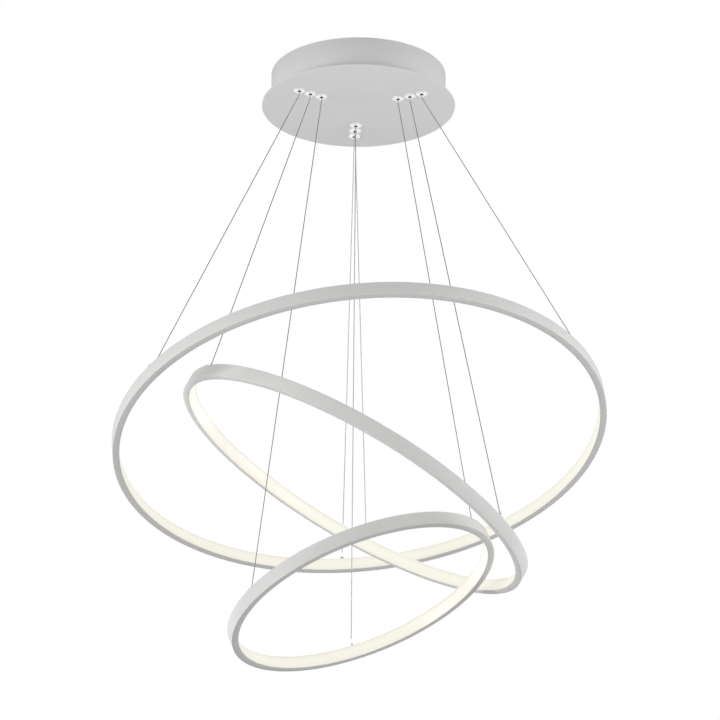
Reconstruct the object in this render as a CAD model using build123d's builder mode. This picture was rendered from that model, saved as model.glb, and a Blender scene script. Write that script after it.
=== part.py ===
"""Ring chandelier: three tilted light rings hung on nine wires from a round ceiling canopy.

Frame: +Z up, origin where the canopy meets the ceiling, on the canopy's axis.
The viewer of the photograph stands on the -Y side. Millimetres throughout.
"""

import math
import os
from dataclasses import dataclass

from build123d import *

# ---------------------------------------------------------------- driving dimensions

# canopy: an open drum on a wider round plate, 65 mm deep in all
DRUM_RADIUS = 164.5
DRUM_WALL = 1.2
DRUM_FLANGE = 12.0
CANOPY_DEPTH = 65.0
PLATE_RADIUS = 182.0
PLATE_THICK = 2.5
PLATE_EDGE_RADIUS = 0.7

# ceiling bracket: a folded bar across the top of the drum
BRACKET_WIDTH = 40.0
BRACKET_THICK = 2.0
BRACKET_LUG_DROP = 18.0
BRACKET_SLOT_SPACING = 120.0
BRACKET_SLOT_LENGTH = 20.0
BRACKET_SLOT_WIDTH = 5.5
CABLE_HOLE_RADIUS = 10.0
CABLE_BORE_RADIUS = 5.0
BRACKET_HOLE_RADIUS = 2.25
BRACKET_HOLE_SPACING = 190.0
LUG_GAP = 0.4
DRUM_SCREW_DROP = 10.0
DRUM_SCREW_RADIUS = 1.5
DRUM_SCREW_HEAD = 2.8
DRUM_SCREW_LENGTH = 8.0
DRUM_SCREW_RECESS = (2.6, 0.6, 0.8)
SCREW_CLEARANCE = 0.1
LUG_COLLAR_RADIUS = 2.8
LUG_COLLAR_HEIGHT = 2.0
GROMMET_LIP = 3.0
GROMMET_LIP_THICK = 1.5
GROMMET_SLEEVE_WALL = 1.5
GROMMET_SLEEVE_LENGTH = 8.0

# weld studs and nuts on the inside of the plate
STUD_RADIUS = 2.0
STUD_HEIGHT = 9.0
STUD_CHAMFER = 0.4
STUD_CLEARANCE = 0.3
NUT_FLATS = 7.0
NUT_HEIGHT = 3.2
FLANGE_STUD_COUNT = 6

# wires and the grips they hang in: three groups of three, the outer grip for the big ring
WIRE_RADIUS = 0.8
WIRE_BEND_RADIUS = 6.5
GROUP_ANGLES = {"left": 213.5, "right": 333.5, "far": 93.5}
GRIP_FLANGE_RADIUS = 11.2
GRIP_FLANGE_HEIGHT = 2.8
GRIP_SHANK_RADIUS = 5.0
GRIP_SHANK_HEIGHT = 20.0
GRIP_BORE_RADIUS = 1.4
GRIP_RIM_HEIGHT = 0.8
GRIP_SHANK_CHAMFER = 1.0
SLEEVE_RADIUS = 3.0
SLEEVE_CLEARANCE = 0.08
SLEEVE_LENGTH = 10.5
SLEEVE_REACH = 6.5
SLEEVE_TRAVEL = 2.0
GRIP_NUT_FLATS = 14.0
GRIP_NUT_HEIGHT = 4.0

# ring section: an aluminium channel, open to the inside of the ring
PROFILE_DEPTH = 12.5
PROFILE_HEIGHT = 25.0
PROFILE_WALL = 1.2
PROFILE_EDGE_RADIUS = 0.6
MOUTH_DEPTH = 6.0
LIP = 0.8
LIP_SETBACK = 2.4
DIFFUSER_THICK = 1.6
DIFFUSER_GAP = 0.15
DIFFUSER_LEG_THICK = 0.9
DIFFUSER_HOOK = (1.0, 1.2)
STRIP_WIDTH = 8.0
STRIP_THICK = 0.5
JOINER_LENGTH = 60.0
JOINER_HEIGHT = 12.0
JOINER_GAP = 1.0
GRUB_SCREW_RADIUS = 1.5
GRUB_SCREW_LENGTH = 2.5
GRUB_SCREW_GAP = 0.02

# wire anchors on top of each ring: a plate with a socket, and a ball with a crimped shank
ANCHOR_INSET = 10.5
ANCHOR_PLATE = (11.0, 8.0, 1.0)
ANCHOR_PLATE_CORNER = 1.5
ANCHOR_PLATE_SETBACK = 0.6
ANCHOR_SCREW_INSET = 3.3
ANCHOR_SCREW_RADIUS = 1.25
ANCHOR_SCREW_HEAD = (2.4, 1.4)
ANCHOR_SCREW_LENGTH = 5.0
BALL_RADIUS = 1.9
BALL_CLEARANCE = 0.05
SOCKET_RADIUS = 2.8
SOCKET_RIM = 0.5
NECK_RADIUS = 1.1
NECK_LENGTH = 3.2
CRIMP_RADIUS = 1.7
CRIMP_LENGTH = 6.0
CRIMP_HOLE_DEPTH = 4.0

# LED drivers: a closed case of one size for each ring
DRIVER_LENGTH = 112.0
DRIVER_WIDTH = 34.0
DRIVER_HEIGHT = 24.0
DRIVER_RADIUS_AT = 98.0
DRIVER_CORNER = 3.0
DRIVER_TOP_RADIUS = 1.5
DRIVER_EAR = 9.0
DRIVER_EAR_WIDTH = 14.0
DRIVER_EAR_THICK = 2.0
DRIVER_COVER = 17.0
DRIVER_TRAY = 5.0
DRIVER_RIB_COUNT = 9
DRIVER_RIB_PITCH = 7.0
DRIVER_GROOVE = 1.0
DRIVER_PORT = (4.0, 6.0, 7.0)
DRIVER_PORT_FROM = 8.0
DRIVER_PORT_SPACING = 14.0

# terminal block: three poles on a foot, and the earth post beside it
TERMINAL_FOOT = (34.0, 20.0, 6.0)
TERMINAL_POLE = (9.0, 16.0, 8.0)
TERMINAL_PITCH = 11.0
TERMINAL_SCREW_RADIUS = 1.9
TERMINAL_SCREW_SPACING = 9.0
TERMINAL_BORE_RADIUS = 1.8
EARTH_POST_REACH = 28.0
EARTH_POST_HEIGHT = 13.0
EARTH_WASHER_RADIUS = 5.0
EARTH_WASHER_FROM = 3.0
EARTH_WASHER_THICK = 1.0


@dataclass
class Ring:
    """One light ring: outer radius, centre of its lower face, and which way it leans."""

    name: str
    radius: float
    centre: tuple
    tilt: float
    heading: float
    anchor_turn: float
    grip_radius: float

    @property
    def plane(self):
        """Plane of the lower face: Z is the ring's axis, X its nearest to world X."""
        lean = math.radians(self.tilt)
        towards = math.radians(self.heading)
        axis = Vector(
            math.sin(lean) * math.cos(towards),
            math.sin(lean) * math.sin(towards),
            math.cos(lean),
        )
        return Plane(origin=self.centre, x_dir=Vector(0, 1, 0).cross(axis), z_dir=axis)

    @property
    def axis(self):
        return Axis(self.plane.origin, self.plane.z_dir)

    def outwards(self, angle):
        """Direction from the ring's axis, an angle on from the plane's X."""
        turn = math.radians(angle)
        return self.plane.x_dir * math.cos(turn) + self.plane.y_dir * math.sin(turn)

    def section(self, angle=0.0):
        """Half-plane through the ring's axis: X runs outwards at the angle, Y up."""
        radial = self.outwards(angle)
        return Plane(origin=self.centre, x_dir=radial, z_dir=radial.cross(self.plane.z_dir))

    def on_ring(self, angle, radius, height):
        """Plane at a place on the ring: X outwards, Z along the ring's axis."""
        radial = self.outwards(angle)
        up = self.plane.z_dir
        place = self.plane.origin + radial * radius + up * height
        return Plane(origin=place, x_dir=radial, z_dir=up)


RINGS = [
    Ring("big", 450.0, (4.0, -9.0, -737.0), 15.2, 111.5, 5.7, 132.0),
    Ring("mid", 350.0, (-14.0, -12.0, -826.0), 29.4, 359.2, -2.7, 107.5),
    Ring("small", 250.0, (10.0, 5.0, -1032.0), 21.7, 158.7, 6.4, 83.0),
]
ANCHOR_ANGLES = {"left": 210.0, "right": 330.0, "far": 90.0}

PLATE_BOTTOM = -CANOPY_DEPTH
PLATE_TOP = PLATE_BOTTOM + PLATE_THICK
SLEEVE_MOUTH = PLATE_BOTTOM - SLEEVE_REACH


def save(piece, name):
    """Label a finished piece and write it under its node's name."""
    piece.part.label = name
    export_step(piece.part, f"parts/{name}.step")


def grip_place(ring, side):
    angle = math.radians(GROUP_ANGLES[side])
    return Vector(ring.grip_radius * math.cos(angle), ring.grip_radius * math.sin(angle), 0)


def driver_angle(index):
    """The drivers lie between the three groups of grips."""
    return GROUP_ANGLES["right"] - 360 + 60 + 120 * index


def driver_plane(index):
    angle = math.radians(driver_angle(index))
    outwards = Vector(math.cos(angle), math.sin(angle), 0)
    return Plane(origin=outwards * DRIVER_RADIUS_AT + Vector(0, 0, PLATE_TOP),
                 x_dir=(-outwards.Y, outwards.X, 0), z_dir=(0, 0, 1))


def stud_places():
    """Weld studs: a circle for the drum's flange, and two for each driver's ears."""
    flange = [
        Vector(DRUM_RADIUS - DRUM_WALL - DRUM_FLANGE / 2, 0, 0).rotate(Axis.Z, 30 + 60 * k)
        for k in range(FLANGE_STUD_COUNT)
    ]
    ears = []
    for index in range(len(RINGS)):
        for end in (-1, 1):
            across = end * (DRIVER_LENGTH + DRIVER_EAR) / 2
            place = driver_plane(index).from_local_coords((across, 0, 0))
            ears.append(Vector(place.X, place.Y, 0))
    return flange, ears


# ---------------------------------------------------------------- canopy

os.makedirs("parts", exist_ok=True)
flange_studs, ear_studs = stud_places()
all_grips = [grip_place(ring, side) for ring in RINGS for side in GROUP_ANGLES]

with BuildPart() as ceiling_bracket:
    lug_radius = DRUM_RADIUS - DRUM_WALL - LUG_GAP
    with BuildSketch():
        Circle(lug_radius)
        Rectangle(2 * DRUM_RADIUS, BRACKET_WIDTH, mode=Mode.INTERSECT)
    extrude(amount=-BRACKET_LUG_DROP)
    with BuildSketch(Plane.XY.offset(-BRACKET_THICK)):
        Circle(lug_radius - BRACKET_THICK)
    extrude(amount=-BRACKET_LUG_DROP, mode=Mode.SUBTRACT)
    with BuildSketch():
        with GridLocations(BRACKET_SLOT_SPACING, 0, 2, 1):
            SlotOverall(BRACKET_SLOT_LENGTH, BRACKET_SLOT_WIDTH)
        with GridLocations(BRACKET_HOLE_SPACING, 0, 2, 1):
            Circle(BRACKET_HOLE_RADIUS)
        Circle(CABLE_HOLE_RADIUS)
    extrude(amount=-BRACKET_THICK, mode=Mode.SUBTRACT)
    # a drawn and tapped collar inside each lug takes the drum's screw
    for side in (-1, 1):
        lug_inside = Plane(
            (side * (lug_radius - BRACKET_THICK - LUG_COLLAR_HEIGHT), 0, -DRUM_SCREW_DROP),
            z_dir=(side, 0, 0),
        )
        with BuildSketch(lug_inside):
            Circle(LUG_COLLAR_RADIUS)
        extrude(amount=LUG_COLLAR_HEIGHT + BRACKET_THICK / 2)
    with Locations(Plane((0, 0, -DRUM_SCREW_DROP), z_dir=(1, 0, 0))):
        Cylinder(DRUM_SCREW_RADIUS, 2 * DRUM_RADIUS, mode=Mode.SUBTRACT)
save(ceiling_bracket, "ceiling_bracket")

with BuildPart() as cable_grommet:
    with BuildSketch(Plane.XZ):
        with BuildLine():
            Polyline(
                (CABLE_BORE_RADIUS, 0),
                (CABLE_HOLE_RADIUS, 0),
                (CABLE_HOLE_RADIUS, -BRACKET_THICK),
                (CABLE_HOLE_RADIUS + GROMMET_LIP, -BRACKET_THICK),
                (CABLE_HOLE_RADIUS + GROMMET_LIP, -BRACKET_THICK - GROMMET_LIP_THICK),
                (CABLE_BORE_RADIUS + GROMMET_SLEEVE_WALL + 1, -BRACKET_THICK - GROMMET_LIP_THICK - 1),
                (CABLE_BORE_RADIUS + GROMMET_SLEEVE_WALL, -BRACKET_THICK - GROMMET_SLEEVE_LENGTH),
                (CABLE_BORE_RADIUS, -BRACKET_THICK - GROMMET_SLEEVE_LENGTH),
                close=True,
            )
        make_face()
    revolve(axis=Axis.Z)
save(cable_grommet, "cable_grommet")

with BuildPart() as drum:
    with BuildSketch(Plane.XZ):
        with BuildLine():
            inside = DRUM_RADIUS - DRUM_WALL
            Polyline(
                (inside, 0),
                (DRUM_RADIUS, 0),
                (DRUM_RADIUS, PLATE_TOP),
                (inside - DRUM_FLANGE, PLATE_TOP),
                (inside - DRUM_FLANGE, PLATE_TOP + DRUM_WALL),
                (inside, PLATE_TOP + DRUM_WALL),
                close=True,
            )
        make_face()
    revolve(axis=Axis.Z)
    with Locations(*[place + Vector(0, 0, PLATE_TOP) for place in flange_studs]):
        Cylinder(STUD_RADIUS + STUD_CLEARANCE, 4 * DRUM_WALL, mode=Mode.SUBTRACT)
    for side in (-1, 1):
        with Locations(Plane((side * DRUM_RADIUS, 0, -DRUM_SCREW_DROP), z_dir=(side, 0, 0))):
            CounterSinkHole(
                DRUM_SCREW_RADIUS + SCREW_CLEARANCE,
                DRUM_SCREW_HEAD + SCREW_CLEARANCE,
                depth=3 * DRUM_WALL,
                counter_sink_angle=90,
            )
save(drum, "drum")

# countersunk screws, flush with the drum, that hold it to the bracket's lugs, one each side
with BuildPart() as drum_screws:
    for side in (-1, 1):
        head = Plane(
            (side * (DRUM_RADIUS - SCREW_CLEARANCE), 0, -DRUM_SCREW_DROP), z_dir=(side, 0, 0)
        )
        cone = DRUM_SCREW_HEAD - DRUM_SCREW_RADIUS
        with BuildSketch(head.offset(-cone)):
            Circle(DRUM_SCREW_RADIUS)
        with BuildSketch(head):
            Circle(DRUM_SCREW_HEAD)
        loft()
        with BuildSketch(head.offset(-cone)):
            Circle(DRUM_SCREW_RADIUS)
        extrude(amount=cone - DRUM_SCREW_LENGTH)
        recess_length, recess_width, recess_depth = DRUM_SCREW_RECESS
        with BuildSketch(head):
            Rectangle(recess_length, recess_width)
            Rectangle(recess_width, recess_length)
        extrude(amount=-recess_depth, mode=Mode.SUBTRACT)
save(drum_screws, "drum_screws")

with BuildPart() as canopy_plate:
    with BuildSketch(Plane.XY.offset(PLATE_BOTTOM)):
        Circle(PLATE_RADIUS)
        with Locations(*all_grips):
            Circle(GRIP_SHANK_RADIUS + 0.1, mode=Mode.SUBTRACT)
    extrude(amount=PLATE_THICK)
    fillet(canopy_plate.faces().filter_by(Plane.XY).edges().filter_by(
        lambda edge: edge.radius > PLATE_RADIUS - 1), radius=PLATE_EDGE_RADIUS)
save(canopy_plate, "canopy_plate")

with BuildPart() as plate_studs:
    with BuildSketch(Plane.XY.offset(PLATE_TOP)):
        with Locations(*flange_studs, *ear_studs):
            Circle(STUD_RADIUS)
    extrude(amount=STUD_HEIGHT)
    chamfer(plate_studs.faces().group_by(Axis.Z)[-1].edges(), length=STUD_CHAMFER)
save(plate_studs, "plate_studs")

with BuildPart() as plate_nuts:
    for places, seat in ((flange_studs, DRUM_WALL), (ear_studs, DRIVER_EAR_THICK)):
        with BuildSketch(Plane.XY.offset(PLATE_TOP + seat)):
            with Locations(*places):
                RegularPolygon(NUT_FLATS / 2, 6, major_radius=False)
                Circle(STUD_RADIUS + 0.05, mode=Mode.SUBTRACT)
        extrude(amount=NUT_HEIGHT)
save(plate_nuts, "plate_nuts")


# ---------------------------------------------------------------- drivers and terminals

def make_driver(index, name):
    """Driver case: a lid on a tray, a screwed terminal cover at each end, and two screw ears."""
    base = driver_plane(index)
    port_length, port_width, port_height = DRIVER_PORT
    with BuildPart() as driver:
        with BuildSketch(base):
            RectangleRounded(DRIVER_LENGTH, DRIVER_WIDTH, DRIVER_CORNER)
        extrude(amount=DRIVER_HEIGHT)
        fillet(driver.faces().sort_by(Axis.Z)[-1].edges(), radius=DRIVER_TOP_RADIUS)
        with BuildSketch(base):
            with GridLocations(DRIVER_LENGTH + DRIVER_EAR, 0, 2, 1):
                Rectangle(DRIVER_EAR + 1, DRIVER_EAR_WIDTH)
                Circle(STUD_RADIUS + STUD_CLEARANCE, mode=Mode.SUBTRACT)
        extrude(amount=DRIVER_EAR_THICK)
        with BuildSketch(base.offset(DRIVER_HEIGHT)):
            with GridLocations(DRIVER_LENGTH - 2 * DRIVER_COVER, 0, 2, 1):
                Rectangle(1.2, DRIVER_WIDTH)
            with GridLocations(DRIVER_RIB_PITCH, 0, DRIVER_RIB_COUNT, 1):
                SlotOverall(DRIVER_WIDTH - 10, 1.6, rotation=90)
        extrude(amount=-DRIVER_GROOVE, mode=Mode.SUBTRACT)
        with BuildSketch(base.offset(DRIVER_TRAY)) as seam:
            RectangleRounded(DRIVER_LENGTH, DRIVER_WIDTH, DRIVER_CORNER)
            offset(amount=-DRIVER_GROOVE / 2, mode=Mode.SUBTRACT)
        extrude(amount=0.6, mode=Mode.SUBTRACT)
        with Locations(base.offset(DRIVER_HEIGHT)):
            with GridLocations(DRIVER_LENGTH - DRIVER_COVER, 0, 2, 1):
                CounterBoreHole(1.3, 2.8, 2.0, depth=7)
        with BuildSketch(base.offset(DRIVER_PORT_FROM)):
            with GridLocations(DRIVER_LENGTH, DRIVER_PORT_SPACING, 2, 2):
                Rectangle(2 * port_length, port_width)
        extrude(amount=port_height, mode=Mode.SUBTRACT)
    save(driver, name)


for index, ring in enumerate(RINGS):
    make_driver(index, f"driver_{ring.name}")

with BuildPart() as terminal_block:
    foot_length, foot_width, foot_height = TERMINAL_FOOT
    pole_length, pole_width, pole_height = TERMINAL_POLE
    with BuildSketch(Plane.XY.offset(PLATE_TOP)):
        RectangleRounded(foot_length, foot_width, 2)
    extrude(amount=foot_height)
    with BuildSketch(Plane.XY.offset(PLATE_TOP + foot_height)):
        with GridLocations(TERMINAL_PITCH, 0, 3, 1):
            RectangleRounded(pole_length, pole_width, 1.5)
    extrude(amount=pole_height)
    with BuildSketch(Plane.XY.offset(PLATE_TOP + foot_height + pole_height)):
        with GridLocations(TERMINAL_PITCH, TERMINAL_SCREW_SPACING, 3, 2):
            Circle(TERMINAL_SCREW_RADIUS)
    extrude(amount=-pole_height / 2, mode=Mode.SUBTRACT)
    with BuildSketch(Plane.XZ.offset(-foot_width / 2)):
        with Locations((0, PLATE_TOP + foot_height + 1)):
            with GridLocations(TERMINAL_PITCH, 0, 3, 1):
                Circle(TERMINAL_BORE_RADIUS)
    extrude(amount=foot_width, mode=Mode.SUBTRACT)
save(terminal_block, "terminal_block")

with BuildPart() as earth_post:
    post_foot = Plane((0, -EARTH_POST_REACH, PLATE_TOP))
    with BuildSketch(post_foot):
        Circle(STUD_RADIUS)
    extrude(amount=EARTH_POST_HEIGHT)
    with BuildSketch(post_foot.offset(EARTH_WASHER_FROM)):
        Circle(EARTH_WASHER_RADIUS)
    extrude(amount=EARTH_WASHER_THICK)
    with BuildSketch(post_foot.offset(EARTH_WASHER_FROM + EARTH_WASHER_THICK)):
        RegularPolygon(NUT_FLATS / 2, 6, major_radius=False)
    extrude(amount=NUT_HEIGHT)
save(earth_post, "earth_post")


# ---------------------------------------------------------------- cable grips

def make_grips(ring):
    """Grip bodies: a domed flange below the plate and a threaded shank above it."""
    top = PLATE_BOTTOM + GRIP_SHANK_HEIGHT
    flange_bottom = PLATE_BOTTOM - GRIP_FLANGE_HEIGHT
    flange_edge = (GRIP_FLANGE_RADIUS, PLATE_BOTTOM - GRIP_RIM_HEIGHT)
    sleeve_bore = SLEEVE_RADIUS + SLEEVE_CLEARANCE
    chamber_top = SLEEVE_MOUTH + SLEEVE_LENGTH + SLEEVE_TRAVEL + 0.5
    with BuildPart() as grips:
        for side in GROUP_ANGLES:
            place = grip_place(ring, side)
            with BuildSketch(Plane(origin=place, x_dir=(1, 0, 0), z_dir=(0, -1, 0))):
                with BuildLine():
                    Polyline(
                        (sleeve_bore + 1.6, flange_bottom),
                        (sleeve_bore, flange_bottom),
                        (sleeve_bore, chamber_top),
                        (GRIP_BORE_RADIUS, chamber_top),
                        (GRIP_BORE_RADIUS, top),
                        (GRIP_SHANK_RADIUS - GRIP_SHANK_CHAMFER, top),
                        (GRIP_SHANK_RADIUS, top - GRIP_SHANK_CHAMFER),
                        (GRIP_SHANK_RADIUS, PLATE_BOTTOM),
                        (GRIP_FLANGE_RADIUS, PLATE_BOTTOM),
                        flange_edge,
                    )
                    ThreePointArc(
                        flange_edge,
                        (0.62 * GRIP_FLANGE_RADIUS + 1.6, flange_bottom + 0.55),
                        (sleeve_bore + 1.6, flange_bottom),
                    )
                make_face()
            revolve(axis=Axis(place, (0, 0, 1)))
    save(grips, f"grips_{ring.name}")


def make_sleeve(ring, side):
    """Release sleeve: the small tube below the flange that frees the wire when pushed up."""
    place = grip_place(ring, side)
    with BuildPart() as sleeve:
        with BuildSketch(Plane(origin=place, x_dir=(1, 0, 0), z_dir=(0, -1, 0))):
            with BuildLine():
                Polyline(
                    (GRIP_BORE_RADIUS, SLEEVE_MOUTH + 0.6),
                    (GRIP_BORE_RADIUS + 0.8, SLEEVE_MOUTH),
                    (SLEEVE_RADIUS - 0.5, SLEEVE_MOUTH),
                    (SLEEVE_RADIUS, SLEEVE_MOUTH + 0.5),
                    (SLEEVE_RADIUS, SLEEVE_MOUTH + SLEEVE_LENGTH),
                    (GRIP_BORE_RADIUS, SLEEVE_MOUTH + SLEEVE_LENGTH),
                    close=True,
                )
            make_face()
        revolve(axis=Axis(place, (0, 0, 1)))
    save(sleeve, f"sleeve_{ring.name}_{side}")


with BuildPart() as grip_nuts:
    with BuildSketch(Plane.XY.offset(PLATE_TOP)):
        with Locations(*all_grips):
            RegularPolygon(GRIP_NUT_FLATS / 2, 6, major_radius=False)
            Circle(GRIP_SHANK_RADIUS + 0.05, mode=Mode.SUBTRACT)
    extrude(amount=GRIP_NUT_HEIGHT)
save(grip_nuts, "grip_nuts")


# ---------------------------------------------------------------- rings

def make_profile(ring):
    """Bent aluminium channel: open mouth inwards, LED web, closed wire chamber behind."""
    inner = ring.radius - PROFILE_DEPTH
    clear = PROFILE_HEIGHT - 2 * PROFILE_WALL
    chamber = PROFILE_DEPTH - MOUTH_DEPTH - 2 * PROFILE_WALL
    middle = PROFILE_HEIGHT / 2
    with BuildPart() as profile:
        with BuildSketch(ring.section()) as section:
            with Locations((ring.radius - PROFILE_DEPTH / 2, middle)):
                Rectangle(PROFILE_DEPTH, PROFILE_HEIGHT)
            fillet(section.vertices().group_by(Axis.X)[-1], radius=PROFILE_EDGE_RADIUS)
            with Locations((inner + MOUTH_DEPTH / 2, middle)):
                Rectangle(MOUTH_DEPTH, clear, mode=Mode.SUBTRACT)
            with Locations((ring.radius - PROFILE_WALL - chamber / 2, middle)):
                Rectangle(chamber, clear, mode=Mode.SUBTRACT)
            for side in (-1, 1):
                with Locations((inner + LIP_SETBACK + LIP / 2, middle + side * (clear - LIP) / 2)):
                    Rectangle(LIP, LIP)
        revolve(axis=ring.axis)
        for angle in ANCHOR_ANGLES.values():
            screw = ring.on_ring(
                angle + ring.anchor_turn, ring.radius - ANCHOR_SCREW_INSET, PROFILE_HEIGHT
            )
            with BuildSketch(screw):
                Circle(ANCHOR_SCREW_RADIUS + 0.05)
            extrude(amount=-PROFILE_WALL - 0.5, mode=Mode.SUBTRACT)
    save(profile, f"profile_{ring.name}")


def make_diffuser(ring):
    """Opal strip that closes the channel's mouth, with a snap leg behind each lip."""
    inner = ring.radius - PROFILE_DEPTH
    clear = PROFILE_HEIGHT - 2 * PROFILE_WALL - 2 * DIFFUSER_GAP
    middle = PROFILE_HEIGHT / 2
    leg_length = LIP_SETBACK + LIP - DIFFUSER_THICK + 1.2
    leg_offset = (clear - 2 * LIP) / 2 - 0.6
    hook_depth, hook_height = DIFFUSER_HOOK
    with BuildPart() as diffuser:
        with BuildSketch(ring.section()):
            with Locations((inner + DIFFUSER_THICK / 2, middle)):
                Rectangle(DIFFUSER_THICK, clear)
            for side in (-1, 1):
                with Locations((inner + DIFFUSER_THICK + leg_length / 2, middle + side * leg_offset)):
                    Rectangle(leg_length, DIFFUSER_LEG_THICK)
                hook = inner + DIFFUSER_THICK + leg_length - hook_depth / 2
                with Locations((hook, middle + side * (leg_offset + 0.7))):
                    Rectangle(hook_depth, hook_height)
        revolve(axis=ring.axis)
    save(diffuser, f"diffuser_{ring.name}")


def make_strip(ring):
    web = ring.radius - PROFILE_DEPTH + MOUTH_DEPTH
    with BuildPart() as strip:
        with BuildSketch(ring.section()):
            with Locations((web - STRIP_THICK / 2, PROFILE_HEIGHT / 2)):
                Rectangle(STRIP_THICK, STRIP_WIDTH)
        revolve(axis=ring.axis)
    save(strip, f"led_strip_{ring.name}")


def make_joiner(ring):
    """Curved bar over the channel's seam, pressed on the web by four grub screws."""
    arc = math.degrees(JOINER_LENGTH / ring.radius)
    seam = 270.0 + ring.anchor_turn
    depth = PROFILE_DEPTH - MOUTH_DEPTH - 2 * PROFILE_WALL - JOINER_GAP
    outside = ring.radius - PROFILE_WALL
    with BuildPart() as joiner:
        with BuildSketch(ring.section(seam - arc / 2)):
            with Locations((outside - JOINER_GAP - depth / 2, PROFILE_HEIGHT / 2)):
                Rectangle(depth, JOINER_HEIGHT)
        revolve(axis=ring.axis, revolution_arc=arc)
        for step in (-0.38, -0.15, 0.15, 0.38):
            seat = ring.on_ring(seam + step * arc, outside - GRUB_SCREW_GAP, PROFILE_HEIGHT / 2)
            with BuildSketch(Plane(origin=seat.origin, x_dir=seat.z_dir, z_dir=seat.x_dir)):
                Circle(GRUB_SCREW_RADIUS)
            extrude(amount=-GRUB_SCREW_LENGTH)
    save(joiner, f"joiner_{ring.name}")


def ball_plane(ring, side):
    """Where a wire's ball sits: the plane's Z is the ring's axis."""
    angle = ANCHOR_ANGLES[side] + ring.anchor_turn
    height = PROFILE_HEIGHT + ANCHOR_PLATE[2] + BALL_RADIUS
    return ring.on_ring(angle, ring.radius - ANCHOR_INSET, height)


def wire_line(ring, side):
    """The bend under the grip, and the direction from the ball up the wire to it."""
    bend = grip_place(ring, side) + Vector(0, 0, SLEEVE_MOUTH - 1.6)
    ball = ball_plane(ring, side).origin
    return bend, ball, (bend - ball).normalized()


def make_anchors(ring):
    """Plates with a ball socket at the inner edge, each held by one screw."""
    plate_length, plate_width, plate_thick = ANCHOR_PLATE
    with BuildPart() as anchors:
        for side in ANCHOR_ANGLES:
            ball = ball_plane(ring, side)
            foot = ball.offset(-BALL_RADIUS - plate_thick)
            with BuildSketch(foot):
                with Locations((ANCHOR_INSET - plate_length / 2 - ANCHOR_PLATE_SETBACK, 0)):
                    RectangleRounded(plate_length, plate_width, ANCHOR_PLATE_CORNER)
                with Locations((ANCHOR_INSET - ANCHOR_SCREW_INSET, 0)):
                    Circle(ANCHOR_SCREW_RADIUS + STUD_CLEARANCE, mode=Mode.SUBTRACT)
            extrude(amount=plate_thick)
            with BuildSketch(foot):
                Circle(SOCKET_RADIUS)
            extrude(amount=plate_thick + BALL_RADIUS + SOCKET_RIM)
            with Locations(ball):
                Sphere(BALL_RADIUS + BALL_CLEARANCE, mode=Mode.SUBTRACT)
    save(anchors, f"anchors_{ring.name}")


def make_anchor_screws(ring):
    head_radius, head_height = ANCHOR_SCREW_HEAD
    with BuildPart() as screws:
        for side in ANCHOR_ANGLES:
            seat = ball_plane(ring, side).offset(-BALL_RADIUS)
            with BuildSketch(seat):
                with Locations((ANCHOR_INSET - ANCHOR_SCREW_INSET, 0)):
                    Circle(head_radius)
            extrude(amount=head_height)
            with BuildSketch(seat):
                with Locations((ANCHOR_INSET - ANCHOR_SCREW_INSET, 0)):
                    Circle(ANCHOR_SCREW_RADIUS)
            extrude(amount=-ANCHOR_SCREW_LENGTH)
    save(screws, f"anchor_screws_{ring.name}")


def make_ball_shanks(ring):
    """Ball ends crimped on the wires, each in line with its wire."""
    with BuildPart() as shanks:
        for side in ANCHOR_ANGLES:
            bend, ball, up = wire_line(ring, side)
            with Locations(Plane(origin=ball, z_dir=up)):
                Sphere(BALL_RADIUS)
            with BuildSketch(Plane(origin=ball, z_dir=up)):
                Circle(NECK_RADIUS)
            extrude(amount=NECK_LENGTH + 1)
            with BuildSketch(Plane(origin=ball + up * NECK_LENGTH, z_dir=up)):
                Circle(CRIMP_RADIUS)
            extrude(amount=CRIMP_LENGTH)
            with BuildSketch(Plane(origin=ball + up * (NECK_LENGTH + CRIMP_LENGTH), z_dir=up)):
                Circle(WIRE_RADIUS + 0.05)
            extrude(amount=-CRIMP_HOLE_DEPTH, mode=Mode.SUBTRACT)
    save(shanks, f"ball_shanks_{ring.name}")


def make_wire(ring, side):
    """One wire: straight down through its grip, a small bend, then taut to its ball end."""
    bend, ball, up = wire_line(ring, side)
    top = grip_place(ring, side) + Vector(0, 0, PLATE_BOTTOM + GRIP_SHANK_HEIGHT + 6)
    end = ball + up * (NECK_LENGTH + CRIMP_LENGTH - CRIMP_HOLE_DEPTH)
    with BuildPart() as wire:
        with BuildLine() as path:
            FilletPolyline(top, bend, end, radius=WIRE_BEND_RADIUS)
        with BuildSketch(Plane(origin=top, z_dir=(0, 0, -1))):
            Circle(WIRE_RADIUS)
        sweep()
    save(wire, f"wire_{ring.name}_{side}")
    length = path.wire().length
    expected = math.pi * WIRE_RADIUS**2 * length
    print(f"wire_{ring.name}_{side}: {length:.1f} mm long,"
          f" volume {wire.part.volume / expected:.4f} of section times length")


for ring in RINGS:
    make_grips(ring)
    make_profile(ring)
    make_diffuser(ring)
    make_strip(ring)
    make_joiner(ring)
    make_anchors(ring)
    make_anchor_screws(ring)
    make_ball_shanks(ring)
    for side in GROUP_ANGLES:
        make_sleeve(ring, side)
        make_wire(ring, side)
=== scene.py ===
import math

import bmesh
import bpy
from mathutils import Matrix, Vector


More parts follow.
